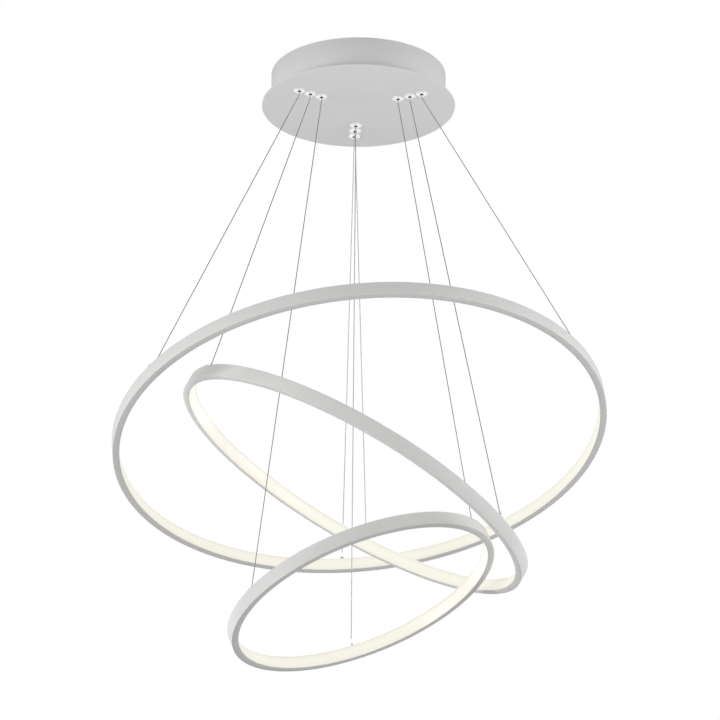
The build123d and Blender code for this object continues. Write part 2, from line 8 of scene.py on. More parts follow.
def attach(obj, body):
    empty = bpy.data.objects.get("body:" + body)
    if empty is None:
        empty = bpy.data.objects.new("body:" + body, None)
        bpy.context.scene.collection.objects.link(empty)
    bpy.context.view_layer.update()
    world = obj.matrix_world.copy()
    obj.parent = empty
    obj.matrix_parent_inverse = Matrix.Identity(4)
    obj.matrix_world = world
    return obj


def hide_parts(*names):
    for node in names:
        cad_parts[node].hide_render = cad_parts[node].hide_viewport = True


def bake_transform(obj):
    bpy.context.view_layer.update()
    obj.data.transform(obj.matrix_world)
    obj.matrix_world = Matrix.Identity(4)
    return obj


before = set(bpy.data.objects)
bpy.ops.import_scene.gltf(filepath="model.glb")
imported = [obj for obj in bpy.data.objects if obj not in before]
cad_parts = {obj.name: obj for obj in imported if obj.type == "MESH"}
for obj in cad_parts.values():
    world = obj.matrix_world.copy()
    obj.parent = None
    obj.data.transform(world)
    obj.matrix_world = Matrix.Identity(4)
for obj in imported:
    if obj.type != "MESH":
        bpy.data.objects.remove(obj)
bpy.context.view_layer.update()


# ---------------------------------------------------------------- the viewpoint

# The chandelier is seen from six metres off and well below it, through a long lens,
# so the ceiling plate shows its underside and the near arc of each ring is the upper one.
eye = Vector((0.0, -6.002, -2.874))
look_up = math.radians(20.953)
turn_right = math.radians(0.027)
lens = 175.3

camera_data = bpy.data.cameras.new("camera")
camera_data.lens = lens
camera_data.sensor_width = 36.0
camera_data.clip_end = 60.0
camera = bpy.data.objects.new("camera", camera_data)
camera.location = eye
camera.rotation_euler = (math.radians(90) + look_up, 0.0, -turn_right)
bpy.context.scene.collection.objects.link(camera)
bpy.context.scene.camera = camera


# ---------------------------------------------------------------- the studio

# A white floor and white walls under soft lamps: the main one low on the left, a weaker one in
# front on the right, four small ones for the canopy, one above and two behind. Whatever is
# polished mirrors the white walls and a greyer ceiling. The walls give some light as well, and
# neither they nor the floor are sampled as lamps, which keeps grain off the pale coats.
floor_height = -3.2
floor_size = 40.0
room_light = 0.24
ceiling_tone = 0.22
walls_end = -0.05
ceiling_starts = 0.4
white = (1.0, 1.0, 1.0, 1.0)


class Socket:
    """A node's output with arithmetic: an expression on it adds its Math nodes."""

    def __init__(self, tree, link):
        self.tree = tree
        self.link = link

    def node(self, kind, settings, sockets, output=0):
        """Add a node of any kind: its settings first, then its sockets' values or links."""
        made = self.tree.nodes.new(kind)
        for name, value in settings.items():
            setattr(made, name, value)
        for key, value in sockets.items():
            if isinstance(value, Socket):
                self.tree.links.new(value.link, made.inputs[key])
            else:
                made.inputs[key].default_value = value
        return Socket(self.tree, made.outputs[output])

    def math(self, operation, first, second=0.0):
        return self.node("ShaderNodeMath", {"operation": operation}, {0: first, 1: second})

    def __add__(self, other):
        return self.math("ADD", self, other)

    def __sub__(self, other):
        return self.math("SUBTRACT", self, other)

    def __rsub__(self, other):
        return self.math("SUBTRACT", other, self)

    def __mul__(self, other):
        return self.math("MULTIPLY", self, other)

    def __truediv__(self, other):
        return self.math("DIVIDE", self, other)

    __radd__ = __add__
    __rmul__ = __mul__

    def below(self, limit, softness):
        """1 where this value is under the limit and 0 where it is over it."""
        return self.node(
            "ShaderNodeMath",
            {"operation": "MULTIPLY_ADD", "use_clamp": True},
            {0: self, 1: -1.0 / softness, 2: limit / softness + 0.5},
        )

    def blend(self, low, high):
        """A colour from low to high as this value goes from 0 to 1."""
        return self.node("ShaderNodeMix", {"data_type": "RGBA"}, {0: self, 6: low, 7: high}, output=2)

    def axis(self, number):
        """One of a place's coordinates: 0, 1 and 2 for X, Y and Z."""
        return self.node("ShaderNodeSeparateXYZ", {}, {0: self}, output=number)


def rays_in_view(tree):
    """1 for rays straight from the camera, and 1 for rays that were mirrored or let through."""
    ray = tree.nodes.new("ShaderNodeLightPath")
    seen = Socket(tree, ray.outputs["Is Camera Ray"])
    mirrored = Socket(tree, ray.outputs["Is Glossy Ray"])
    let_through = Socket(tree, ray.outputs["Is Transmission Ray"])
    return seen, seen.math("MAXIMUM", mirrored, let_through)


room = bpy.data.worlds.new("room")
room.cycles.sampling_method = "NONE"
room.use_nodes = True
room_tree = room.node_tree
room_shader = room_tree.nodes["Background"]
room_shader.inputs["Color"].default_value = white
seen, bounced = rays_in_view(room_tree)
towards = Socket(room_tree, room_tree.nodes.new("ShaderNodeTexCoord").outputs["Generated"])
walls = towards.node(
    "ShaderNodeMapRange",
    {"interpolation_type": "SMOOTHSTEP"},
    {
        "Value": towards.axis(2),
        "From Min": walls_end,
        "From Max": ceiling_starts,
        "To Min": 1.0,
        "To Max": ceiling_tone,
    },
)
shown = seen.math("MAXIMUM", seen, bounced * walls)
room_tree.links.new(shown.math("MAXIMUM", shown, room_light).link, room_shader.inputs["Strength"])
bpy.context.scene.world = room
bpy.context.scene.view_settings.view_transform = "Standard"


def soft_lamp(name, place, target, width, height, power):
    """A studio lamp, out of sight of the camera, that faces a point on or near the chandelier."""
    data = bpy.data.lights.new(name, "AREA")
    data.shape = "RECTANGLE"
    data.size = width
    data.size_y = height
    data.energy = power
    lamp = bpy.data.objects.new(name, data)
    lamp.location = place
    lamp.rotation_euler = (Vector(target) - Vector(place)).to_track_quat("-Z", "Y").to_euler()
    lamp.visible_camera = False
    bpy.context.scene.collection.objects.link(lamp)


canopy_middle = (0.0, 0.0, -0.05)
soft_lamp("lamp_main", (-2.6, -1.0, -1.3), (0.0, 0.0, -1.3), width=1.6, height=1.2, power=34.3)
soft_lamp("lamp_front", (2.2, -2.6, -0.8), (0.0, 0.0, -0.8), width=1.4, height=1.4, power=15.6)
soft_lamp("lamp_plate_right", (1.6, -0.3, -0.8), canopy_middle, width=0.9, height=0.6, power=7.3)
soft_lamp("lamp_plate_front", (0.0, -1.6, -0.75), canopy_middle, width=0.9, height=0.6, power=3.0)
soft_lamp("lamp_above", (0.0, 0.5, 1.9), (0.0, 0.0, -0.8), width=2.0, height=2.0, power=15.6)
for hand, top_power in ((-1, 4.1), (1, 3.4)):
    beside = (hand * 1.7, -0.8, -0.12)
    soft_lamp(f"lamp_top_{hand}", beside, canopy_middle, width=0.9, height=0.6, power=top_power)
    behind = (hand * 2.4, 2.4, -0.7)
    soft_lamp(f"lamp_back_{hand}", behind, (0.0, 0.0, -0.5), width=1.4, height=1.2, power=10.9)

paper = bpy.data.materials.new("paper")
paper.cycles.emission_sampling = "NONE"
paper.use_nodes = True
paper_tree = paper.node_tree
paper_shader = paper_tree.nodes["Principled BSDF"]
paper_shader.inputs["Base Color"].default_value = (0.86, 0.86, 0.86, 1.0)
paper_shader.inputs["Roughness"].default_value = 0.9
seen, bounced = rays_in_view(paper_tree)
shown = seen.math("MAXIMUM", seen, bounced)
plain = shown.node("ShaderNodeEmission", {}, {"Color": white, "Strength": 1.0})
lit = Socket(paper_tree, paper_shader.outputs[0])
above = shown.node("ShaderNodeMixShader", {}, {0: shown, 1: lit, 2: plain})
beneath = Socket(paper_tree, paper_tree.nodes.new("ShaderNodeNewGeometry").outputs["Backfacing"])
clear = beneath.node("ShaderNodeBsdfTransparent", {}, {})
one_sided = beneath.node("ShaderNodeMixShader", {}, {0: beneath, 1: above, 2: clear})
paper_tree.links.new(one_sided.link, paper_tree.nodes["Material Output"].inputs["Surface"])

floor_mesh = bpy.data.meshes.new("floor")
floor_bm = bmesh.new()
bmesh.ops.create_grid(floor_bm, x_segments=1, y_segments=1, size=floor_size / 2)
bmesh.ops.translate(floor_bm, verts=floor_bm.verts, vec=(0.0, 0.0, floor_height))
floor_bm.to_mesh(floor_mesh)
floor_bm.free()
floor = bpy.data.objects.new("floor", floor_mesh)
floor.data.materials.append(paper)
bpy.context.scene.collection.objects.link(floor)


# ---------------------------------------------------------------- canopy plate and drum

# The round plate under the ceiling and the drum above it are spun and pressed sheet steel,
# powder coated matt light grey. The plate's edge is rounded over, so it catches a thin line
# of light. The drum stands 17.5 mm inside the plate and is turned in at its foot.
plate_radius = 0.182
plate_bottom = -0.065
plate_thick = 0.0025
plate_round = 0.0008
drum_radius = 0.1645
drum_wall = 0.0012
drum_flange = 0.012
drum_round = 0.0009
drum_edge_round = 0.00036
lathe_steps = 256


def place_on(tree):
    """Where a point of a surface is, in metres."""
    return Socket(tree, tree.nodes.new("ShaderNodeTexCoord").outputs["Object"])


def new_finish(name, **values):
    """A material, its Principled shader with some values set, and the place on the surface."""
    made = bpy.data.materials.new(name)
    made.use_nodes = True
    tree = made.node_tree
    shader = tree.nodes["Principled BSDF"]
    for key, value in values.items():
        shader.inputs[key.replace("_", " ")].default_value = value
    return made, shader, place_on(tree)


def feed(shader, socket, value):
    """Link a worked-out value to one of the shader's sockets."""
    value.tree.links.new(value.link, shader.inputs[socket])


def emboss(shader, height, strength, depth):
    """Raise the surface where a value is high."""
    bump = height.node(
        "ShaderNodeBump", {}, {"Strength": strength, "Distance": depth, "Height": height}
    )
    feed(shader, "Normal", bump)


def shade(colour, factor):
    """A colour made lighter or darker, with its alpha."""
    return tuple(min(1.0, factor * part) for part in colour) + (1.0,)


def noise(place, scale, detail=2.0, roughness=0.5):
    """Cloudy noise, with so many patches to the metre."""
    return place.node(
        "ShaderNodeTexNoise",
        {},
        {"Vector": place, "Scale": scale, "Detail": detail, "Roughness": roughness},
    )


def powder_coat(name, colour, peel_size, peel_depth):
    """Baked powder: fine orange peel, specks of flow, and a slight unevenness of tone."""
    made, shader, place = new_finish(name, Specular_IOR_Level=0.3)
    peel = noise(place, scale=1.0 / peel_size, detail=1.0)
    dust = noise(place, scale=4.0 / peel_size, detail=0.0)
    cloud = noise(place, scale=7.0)
    tone = cloud * 0.85 + dust * 0.15
    feed(shader, "Base Color", tone.blend(shade(colour, 0.975), shade(colour, 1.02)))
    feed(shader, "Roughness", 0.46 + peel * 0.06 + cloud * 0.05)
    emboss(shader, peel, strength=0.2, depth=peel_depth)
    return made


def section_bmesh(points):
    """A bmesh that holds one closed outline, given as (radius, height) in metres."""
    bm = bmesh.new()
    corners = [bm.verts.new((x, 0.0, z)) for x, z in points]
    for here, there in zip(corners, corners[1:] + corners[:1]):
        bm.edges.new((here, there))
    return bm, corners


def round_off(bm, corners, radius, segments=3):
    """Round some corners of an outline before it is spun."""
    bmesh.ops.bevel(
        bm, geom=corners, offset=radius, segments=segments, profile=0.5, affect="VERTICES", material=-1
    )


def lathe(bm, steps):
    """Spin an outline a full turn about Z and close it."""
    bmesh.ops.spin(
        bm,
        geom=bm.verts[:] + bm.edges[:],
        cent=(0.0, 0.0, 0.0),
        axis=(0.0, 0.0, 1.0),
        dvec=(0.0, 0.0, 0.0),
        angle=math.tau,
        steps=steps,
        use_merge=True,
    )
    bmesh.ops.remove_doubles(bm, verts=bm.verts, dist=1e-7)
    bmesh.ops.recalc_face_normals(bm, faces=bm.faces)


def piece(name, bm, material, crease=32.0):
    """Turn a bmesh into a piece at the origin, smooth except at edges sharper than the crease."""
    mesh = bpy.data.meshes.new(name)
    bm.to_mesh(mesh)
    bm.free()
    mesh.shade_smooth()
    mesh.set_sharp_from_angle(angle=math.radians(crease))
    mesh.materials.append(material)
    made = bpy.data.objects.new(name, mesh)
    bpy.context.scene.collection.objects.link(made)
    return made


# Painted light: the canopy's coat is a lighter copy of the rings' coat, 0.835 against 0.80.
canopy_coat = powder_coat("canopy_coat", (0.835, 0.84, 0.84), peel_size=0.0011, peel_depth=0.00004)

plate_bm, corners = section_bmesh([
    (0.0, plate_bottom),
    (plate_radius, plate_bottom),
    (plate_radius, plate_bottom + plate_thick),
    (0.0, plate_bottom + plate_thick),
])
plate_bm.edges.remove(plate_bm.edges.get((corners[3], corners[0])))
round_off(plate_bm, corners[1:3], plate_round, 4)
lathe(plate_bm, lathe_steps)
plate = piece("canopy_plate_shell", plate_bm, canopy_coat)
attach(plate, "canopy")
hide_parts("canopy_plate")

drum_inside = drum_radius - drum_wall
drum_foot = plate_bottom + plate_thick
drum_bm, corners = section_bmesh([
    (drum_inside, 0.0),
    (drum_radius, 0.0),
    (drum_radius, drum_foot),
    (drum_inside - drum_flange, drum_foot),
    (drum_inside - drum_flange, drum_foot + drum_wall),
    (drum_inside, drum_foot + drum_wall),
])
round_off(drum_bm, [corners[2]], drum_round)
round_off(drum_bm, corners[0:2], drum_edge_round, 2)
lathe(drum_bm, lathe_steps)
drum = piece("drum_shell", drum_bm, canopy_coat)
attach(drum, "canopy")
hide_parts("drum")


# ---------------------------------------------------------------- ceiling bracket and its screws

# The bracket is pressed from steel strip and bright zinc plated, as are the studs, the nuts and
# the screws. Two countersunk screws with a cross recess go through the drum's wall into the
# bracket's lugs, and their heads end flush with the wall.
screw_height = -0.010
screw_head = 0.0028
screw_neck = 0.0015
screw_head_depth = 0.0013
screw_proud = 0.0001
recess_arm = 0.0016
recess_half = 0.0004
recess_depth = 0.0009
recess_taper = 0.55


def finish_nodes(material, *names):
    """Give parts that stay as they are their finish."""
    for name in names:
        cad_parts[name].material_slots[0].material = material


def zinc_plate(name, spangle, colour):
    """Plated steel: small crystals of slightly different tone and polish, and faint handling marks."""
    made, shader, place = new_finish(name, Metallic=1.0)
    crystal = place.node(
        "ShaderNodeTexVoronoi", {}, {"Vector": place, "Scale": 1.0 / spangle}, output="Color"
    )
    marks = noise(place, scale=260.0, detail=3.0, roughness=0.6)
    tone = crystal * 0.6 + marks * 0.4
    feed(shader, "Base Color", tone.blend(shade(colour, 0.86), shade(colour, 1.08)))
    feed(shader, "Roughness", 0.24 + crystal * 0.1 + marks * 0.12)
    emboss(shader, tone, strength=0.25, depth=0.00003)
    return made


bracket_zinc = zinc_plate("bracket_zinc", spangle=0.0035, colour=(0.66, 0.67, 0.68))
fastener_zinc = zinc_plate("fastener_zinc", spangle=0.0008, colour=(0.68, 0.685, 0.69))
finish_nodes(bracket_zinc, "ceiling_bracket")
finish_nodes(fastener_zinc, "plate_studs", "plate_nuts", "grip_nuts")

screws_bm = bmesh.new()
for hand in (-1, 1):
    bm = bmesh.new()
    rim = bmesh.ops.create_circle(bm, segments=32, radius=screw_head)["verts"]
    rim_edges = list({edge for vert in rim for edge in vert.link_edges})
    cross = []
    for quarter in range(4):
        turned = Matrix.Rotation(quarter * math.pi / 2, 3, "Z")
        for x, y in ((recess_half, recess_half), (recess_arm, recess_half), (recess_arm, -recess_half)):
            cross.append(turned @ Vector((x, y, 0.0)))
    ordered = sorted(cross, key=lambda spot: math.atan2(spot.y, spot.x))
    slot_verts = [bm.verts.new(spot) for spot in ordered]
    slot_edges = [bm.edges.new(pair) for pair in zip(slot_verts, slot_verts[1:] + slot_verts[:1])]
    bmesh.ops.triangle_fill(bm, edges=rim_edges + slot_edges, use_beauty=True, use_dissolve=False)
    recess = (slot_edges, recess_taper, recess_depth)
    countersink = (rim_edges, screw_neck / screw_head, screw_head_depth)
    for edges, scale, depth in (recess, countersink):
        grown = bmesh.ops.extrude_edge_only(bm, edges=edges)["geom"]
        fresh = [part for part in grown if isinstance(part, bmesh.types.BMVert)]
        bmesh.ops.scale(bm, verts=fresh, vec=(scale, scale, 1.0))
        bmesh.ops.translate(bm, verts=fresh, vec=(0.0, 0.0, -depth))
    bmesh.ops.holes_fill(bm, edges=bm.edges, sides=0)
    outward = Vector((hand, 0.0, 0.0)).to_track_quat("Z", "Y").to_matrix().to_4x4()
    place = Vector((hand * (drum_radius + screw_proud), 0.0, screw_height))
    bmesh.ops.transform(bm, matrix=Matrix.Translation(place) @ outward, verts=bm.verts)
    bmesh.ops.recalc_face_normals(bm, faces=bm.faces)
    loose = bpy.data.meshes.new("screw")
    bm.to_mesh(loose)
    bm.free()
    screws_bm.from_mesh(loose)
    bpy.data.meshes.remove(loose)
screw_heads = piece("drum_screw_heads", screws_bm, fastener_zinc)
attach(screw_heads, "canopy")
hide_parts("drum_screws")


# ---------------------------------------------------------------- drivers, terminals and earth post

# Inside the drum are three closed LED drivers in satin white mouldings, an ivory nylon terminal
# block, a brass earth post and the black rubber grommet that lines the cable hole. The
# mouldings have the fine spark-eroded grain of their moulds.


def moulding(name, colour, grain_size, roughness, sheen_spread):
    """Moulded plastic or rubber: an even eroded grain and a slow change of gloss."""
    made, shader, place = new_finish(name)
    grain = noise(place, scale=1.0 / grain_size, detail=1.0)
    flow = noise(place, scale=38.0, detail=3.0, roughness=0.55)
    tone = flow * 0.75 + grain * 0.25
    feed(shader, "Base Color", tone.blend(shade(colour, 0.94), shade(colour, 1.03)))
    feed(shader, "Roughness", roughness + grain * sheen_spread + flow * sheen_spread)
    emboss(shader, grain, strength=0.4, depth=0.00004)
    return made


driver_white = moulding(
    "driver_moulding", (0.86, 0.86, 0.85), grain_size=0.0005, roughness=0.38, sheen_spread=0.1
)
nylon = moulding(
    "terminal_nylon", (0.80, 0.77, 0.69), grain_size=0.0016, roughness=0.2, sheen_spread=0.06
)
rubber = moulding(
    "grommet_rubber", (0.045, 0.045, 0.045), grain_size=0.0007, roughness=0.55, sheen_spread=0.14
)
finish_nodes(driver_white, "driver_big", "driver_mid", "driver_small")
finish_nodes(nylon, "terminal_block")
finish_nodes(rubber, "cable_grommet")

tool_pitch = 0.00025
brass, brass_shader, place = new_finish("turned_brass", Metallic=1.0)
lay = place.axis(2) * (math.tau / tool_pitch)
tool_marks = lay.math("SINE", lay) * 0.5 + 0.5
tarnish = noise(place, scale=300.0, detail=3.0, roughness=0.6)
feed(brass_shader, "Base Color", tarnish.blend((0.62, 0.46, 0.21, 1.0), (0.80, 0.62, 0.31, 1.0)))
feed(brass_shader, "Roughness", 0.22 + tool_marks * 0.08 + tarnish * 0.12)
emboss(brass_shader, tool_marks, strength=0.3, depth=0.00002)
finish_nodes(brass, "earth_post")


# ---------------------------------------------------------------- cable grips

# Nine cable grips, turned from brass and chromed, hold the wires. A shallow domed flange
# sits under the plate and a shank with a nut above it. A small sleeve stands out of the
# flange round the wire: pushed up by 2 mm, it frees the wire. Above its bottom 1.6 mm the
# sleeve's colour is painted near black, a painted dark reflection.
flange_radius = 0.0112
flange_rim = 0.0008
flange_rim_round = 0.0002
flange_depth = 0.0028
flange_flat = 0.0016
flange_shoulder = (0.00854, 0.00225)
flange_shoulder_round = 0.0024
sleeve_bore = 0.00308
sleeve_bore_round = 0.00025
sleeve_radius = 0.003
sleeve_mouth = -0.0715
sleeve_chamfer = 0.0005
sleeve_round = 0.0002
sleeve_top = -0.061
wire_bore = 0.0014
mouth_radius = 0.0022
mouth_funnel = 0.0006
chamber_top = -0.0585
shank_radius = 0.005
shank_top = -0.045
shank_chamfer = 0.001
bright_length = 0.0016
bright_fade = 0.0006
turned_steps = 72
grip_reach = {"big": 0.132, "mid": 0.1075, "small": 0.083}
grip_angles = {"left": 213.5, "right": 333.5, "far": 93.5}


def grip_place(name, side):
    """Where a wire's grip is on the plate, as a point at the ceiling's height."""
    angle = math.radians(grip_angles[side])
    return Vector((math.cos(angle), math.sin(angle), 0.0)) * grip_reach[name]


def plated(name, colour, gloss, spread):
    """Bright plating over turned brass: a mirror with faint rubbing marks."""
    made, shader, place = new_finish(name, Metallic=1.0)
    rubbed = noise(place, scale=420.0, detail=4.0, roughness=0.65)
    cloud = noise(place, scale=60.0)
    tone = cloud * 0.6 + rubbed * 0.4
    feed(shader, "Base Color", tone.blend(shade(colour, 0.93), shade(colour, 1.03)))
    feed(shader, "Roughness", gloss + rubbed * spread)
    emboss(shader, rubbed, strength=0.12, depth=0.00001)
    return made


chrome_colour = (0.86, 0.865, 0.87)
chrome = plated("polished_chrome", chrome_colour, gloss=0.05, spread=0.06)

sleeve_chrome = plated("sleeve_chrome", chrome_colour, gloss=0.06, spread=0.08)
sleeve_tree = sleeve_chrome.node_tree
sleeve_shader = sleeve_tree.nodes["Principled BSDF"]
sleeve_tone = Socket(sleeve_tree, sleeve_shader.inputs["Base Color"].links[0].from_socket)
# Painted dark reflection: the sleeve's colour is near black except on its bottom 1.6 mm.
mouth_clear_of_painted_dark = place_on(sleeve_tree).axis(2).below(sleeve_mouth + bright_length, bright_fade)
feed(sleeve_shader, "Base Color", mouth_clear_of_painted_dark.blend((0.05, 0.05, 0.05, 1.0), sleeve_tone))

for name in grip_reach:
    for side in grip_angles:
        seat = grip_place(name, side)
        bm, corners = section_bmesh([
            (sleeve_bore + flange_flat, plate_bottom - flange_depth),
            (sleeve_bore, plate_bottom - flange_depth),
            (sleeve_bore, chamber_top),
            (wire_bore, chamber_top),
            (wire_bore, shank_top),
            (shank_radius - shank_chamfer, shank_top),
            (shank_radius, shank_top - shank_chamfer),
            (shank_radius, plate_bottom),
            (flange_radius, plate_bottom),
            (flange_radius, plate_bottom - flange_rim),
            (flange_shoulder[0], plate_bottom - flange_shoulder[1]),
        ])
        round_off(bm, [corners[10]], flange_shoulder_round, 8)
        round_off(bm, [corners[9]], flange_rim_round)
        round_off(bm, [corners[1]], sleeve_bore_round)
        lathe(bm, turned_steps)
        bmesh.ops.translate(bm, verts=bm.verts, vec=seat)
        grip = piece(f"grip_{name}_{side}", bm, chrome)
        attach(grip, "canopy")
        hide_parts(f"grips_{name}")

        bm, corners = section_bmesh([
            (wire_bore, sleeve_mouth + mouth_funnel),
            (mouth_radius, sleeve_mouth),
            (sleeve_radius - sleeve_chamfer, sleeve_mouth),
            (sleeve_radius, sleeve_mouth + sleeve_chamfer),
            (sleeve_radius, sleeve_top),
            (wire_bore, sleeve_top),
        ])
        round_off(bm, corners[2:4], sleeve_round)
        lathe(bm, turned_steps)
        bmesh.ops.translate(bm, verts=bm.verts, vec=seat)
        sleeve = piece(f"release_sleeve_{name}_{side}", bm, sleeve_chrome)
        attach(sleeve, f"sleeve_{name}_{side}")
        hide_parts(f"sleeve_{name}_{side}")


# ---------------------------------------------------------------- the three rings

# Each ring is aluminium channel bent to a circle, 12.5 mm deep and 25 mm high, coated like
# the canopy. Its mouth faces inwards and holds the light strip. Two small lips inside the
# mouth take the diffuser's snap hooks.
channel_depth = 0.0125
channel_height = 0.025
channel_wall = 0.0012
mouth_depth = 0.006
channel_round = 0.0006
mouth_round = 0.0003
lip = 0.0008
lip_setback = 0.0024
painted_glow_depth = 0.00028
ring_steps = 384

rings = {
    "big": {
        "radius": 0.450,
        "centre": (0.004, -0.009, -0.737),
        "tilt": 15.2,
        "heading": 111.5,
        "turn": 5.7,
    },
    "mid": {
        "radius": 0.350,
        "centre": (-0.014, -0.012, -0.826),
        "tilt": 29.4,
        "heading": 359.2,
        "turn": -2.7,
    },
    "small": {
        "radius": 0.250,
        "centre": (0.010, 0.005, -1.032),
        "tilt": 21.7,
        "heading": 158.7,
        "turn": 6.4,
    },
}


def ring_frame(ring):
    """The matrix of a ring's own frame: Z is its axis, and the origin is on its lower face."""
    lean = math.radians(ring["tilt"])
    heading = math.radians(ring["heading"])
    reach = math.sin(lean)
    axis = Vector((reach * math.cos(heading), reach * math.sin(heading), math.cos(lean)))
    across = Vector((0.0, 1.0, 0.0)).cross(axis).normalized()
    along = axis.cross(across)
    turned = Matrix((across, along, axis)).transposed().to_4x4()
    return Matrix.Translation(ring["centre"]) @ turned


def ring_coordinate(place, ring, column):
    """How far a point is along an axis of a ring's own frame: column 2 is the ring's axis."""
    centre = Vector(ring["centre"])
    direction = ring_frame(ring).to_3x3().col[column]
    arm = place.node("ShaderNodeVectorMath", {"operation": "SUBTRACT"}, {0: place, 1: centre})
    return arm.node(
        "ShaderNodeVectorMath", {"operation": "DOT_PRODUCT"}, {0: arm, 1: direction}, output=1
    )


def painted_glow_lip(name, ring):
    """The coat on the mouth's two edges with painted light: an emission that stands for what leaks from
    the diffuser beside them.
    """
    made = powder_coat(name, ring_colour, **ring_peel)
    tree = made.node_tree
    shader = tree.nodes["Principled BSDF"]
    height = ring_coordinate(place_on(tree), ring, 2)
    upper = 1 - height.below(channel_height / 2, channel_height / 2)
    leak = lower_leak + upper * (upper_leak - lower_leak)
    # Painted light: the edges glow, more on the upper edge than the lower.
    shader.inputs["Emission Strength"].default_value = 1.0
    feed(shader, "Emission Color", leak.blend((0.0, 0.0, 0.0, 1.0), (1.0, 0.96, 0.86, 1.0)))
    made.cycles.emission_sampling = "NONE"
    return made


def second_material(bm, inside, radius):
    """Give the faces of a spun shape that are inside, or outside, a radius its second material."""
    for face in bm.faces:
        if (face.calc_center_median().xy.length < radius) == inside:
            face.material_index = 1


# The rings' coat is the canopy's coat a little darker; the canopy's lighter copy is painted light.
ring_colour = (0.80, 0.80, 0.79)
ring_peel = {"peel_size": 0.0009, "peel_depth": 0.00003}
lower_leak = 0.12
upper_leak = 0.42
ring_coat = powder_coat("ring_coat", ring_colour, **ring_peel)

for name, ring in rings.items():
    mouth = ring["radius"] - channel_depth
    outside = ring["radius"]
    low = channel_wall
    high = channel_height - channel_wall
    bm, corners = section_bmesh([
        (mouth, 0.0),
        (outside, 0.0),
        (outside, channel_height),
        (mouth, channel_height),
        (mouth, high),
        (mouth + lip_setback, high),
        (mouth + lip_setback, high - lip),
        (mouth + lip_setback + lip, high - lip),
        (mouth + lip_setback + lip, high),
        (mouth + mouth_depth, high),
        (mouth + mouth_depth, low),
        (mouth + lip_setback + lip, low),
        (mouth + lip_setback + lip, low + lip),
        (mouth + lip_setback, low + lip),
        (mouth + lip_setback, low),
        (mouth, low),
    ])
    mouth_corners = [corners[0], corners[3], corners[4], corners[15]]
    round_off(bm, corners[1:3], channel_round, 4)
    round_off(bm, mouth_corners, mouth_round, 2)
    lathe(bm, ring_steps)
    second_material(bm, True, mouth + painted_glow_depth)
    bmesh.ops.transform(bm, matrix=ring_frame(ring), verts=bm.verts)
    channel = piece(f"channel_{name}", bm, ring_coat)
    channel.data.materials.append(painted_glow_lip(f"painted_glow_lip_{name}", ring))
    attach(channel, f"ring_{name}")
    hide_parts(f"profile_{name}")


# ---------------------------------------------------------------- diffusers

# The opal strip that closes each mouth is extruded acrylic with a slightly crowned face,
# snapped behind the lips by two hooked legs. Lit from behind it glows warm white, a little
# stronger along its middle, where the chips are, than beside the channel's edges.
diffuser_thick = 0.0016
diffuser_gap = 0.00015
diffuser_crown = 0.00045
crown_round = 0.007
diffuser_round = 0.00025
leg_gap = 0.00015
leg_thick = 0.0009
hook_gap = 0.0002
hook_length = 0.001
hook_slope = 0.0001
glow = 0.72


def opal(name, ring, strength):
    """Glowing opal acrylic: the glow falls off towards the strip's two edges, and its base colour
    darkens there as painted shade.
    """
    made, shader, place = new_finish(name, Emission_Strength=strength, Coat_Weight=0.15)
    share = (ring_coordinate(place, ring, 2) - channel_height / 2) / (channel_height / 2)
    falloff = share * share
    edge = falloff * falloff
    grain = noise(place, scale=900.0, detail=1.0)
    # Painted shade: the base colour is darker towards the strip's two edges, beside the lips.
    feed(shader, "Base Color", edge.blend((0.30, 0.29, 0.26, 1.0), (0.26, 0.25, 0.22, 1.0)))
    feed(shader, "Emission Color", falloff.blend((1.0, 0.972, 0.875, 1.0), (0.93, 0.885, 0.755, 1.0)))
    feed(shader, "Roughness", 0.3 + grain * 0.1)
    emboss(shader, grain, strength=0.2, depth=0.00002)
    made.cycles.emission_sampling = "NONE"
    return made


for name, ring in rings.items():
    face = ring["radius"] - channel_depth
    back = face + diffuser_thick
    low = channel_wall + diffuser_gap
    high = channel_height - low
    leg_in = low + lip + leg_gap
    leg_out = leg_in + leg_thick
    hook = face + lip_setback + lip + hook_gap
    tip = hook + hook_length
    bm, corners = section_bmesh([
        (face, low),
        (face, channel_height / 2),
        (face, high),
        (back, high),
        (back, channel_height - leg_in),
        (hook, channel_height - leg_in),
        (hook, high - hook_slope),
        (tip, channel_height - leg_in),
        (tip, channel_height - leg_out),
        (back, channel_height - leg_out),
        (back, leg_out),
        (tip, leg_out),
        (tip, leg_in),
        (hook, low + hook_slope),
        (hook, leg_in),
        (back, leg_in),
        (back, low),
    ])
    corners[0].co.x += diffuser_crown
    corners[2].co.x += diffuser_crown
    round_off(bm, [corners[1]], crown_round, 6)
    round_off(bm, [corners[0], corners[2]], diffuser_round, 2)
    lathe(bm, ring_steps)
    second_material(bm, False, face + diffuser_thick / 2)
    bmesh.ops.transform(bm, matrix=ring_frame(ring), verts=bm.verts)
    strip = piece(f"opal_{name}", bm, opal(f"opal_{name}", ring, glow))
    strip.data.materials.append(opal(f"opal_back_{name}", ring, 0.0))
    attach(strip, f"ring_{name}")
    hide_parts(f"diffuser_{name}")


# ---------------------------------------------------------------- light strips and joiners

# Behind each diffuser a flexible circuit runs round the web: white lacquer and a yellow light
# chip every 8.3 mm. For every three chips it has a small resistor, and bare copper pads where it
# may be cut. A zinc-plated bar closes each channel's seam from inside.
chip_pitch = 1.0 / 120
chip_half = 0.0014
chips_per_cut = 3
resistor_half_length = 0.0008
resistor_half_width = 0.0005
resistor_shift = 0.33
pad_half_length = 0.0009
pad_half_width = 0.0028
pad_gap_half = 0.0012
pad_shift = 0.5
print_blur = 0.0001


